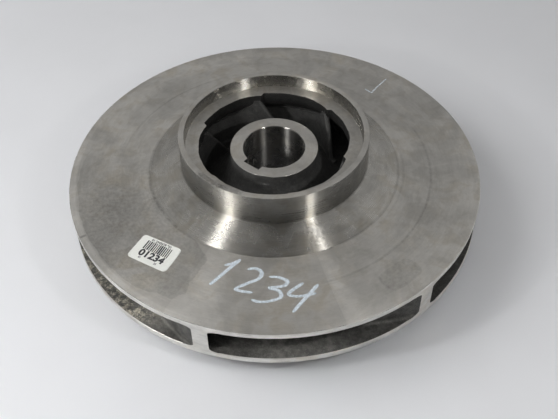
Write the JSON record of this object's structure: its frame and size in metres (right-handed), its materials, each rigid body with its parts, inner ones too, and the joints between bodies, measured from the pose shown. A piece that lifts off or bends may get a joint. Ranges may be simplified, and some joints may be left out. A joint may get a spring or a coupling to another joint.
{
  "type": "closed pump impeller",
  "caption": "Closed centrifugal impeller: two shrouds with swept vanes between them, a keyed hub and a turned eye neck.",
  "frame": {"origin": "on the axis of rotation at the back face of the hub, which is the rest face", "axes": "+Z along the axis of rotation out of the eye, +X to the right in the picture, +Y away from its camera"},
  "size_m": [0.406, 0.406, 0.1078],
  "materials": {
    "machined_steel": "turned, with fine circular tool marks",
    "cast_steel": "rough as-cast stainless steel",
    "label_paper": null
  },
  "bodies": {
    "root": {"hub": "machined_steel", "back_shroud": "machined_steel", "front_shroud": "machined_steel", "front_cone": "machined_steel", "neck_ring": "machined_steel", "eye_ring": "machined_steel", "vane_1": "cast_steel", "vane_2": "cast_steel", "vane_3": "cast_steel", "vane_4": "cast_steel", "vane_5": "cast_steel", "vane_6": "cast_steel", "inventory_label": "label_paper"}
  },
  "joints": []
}
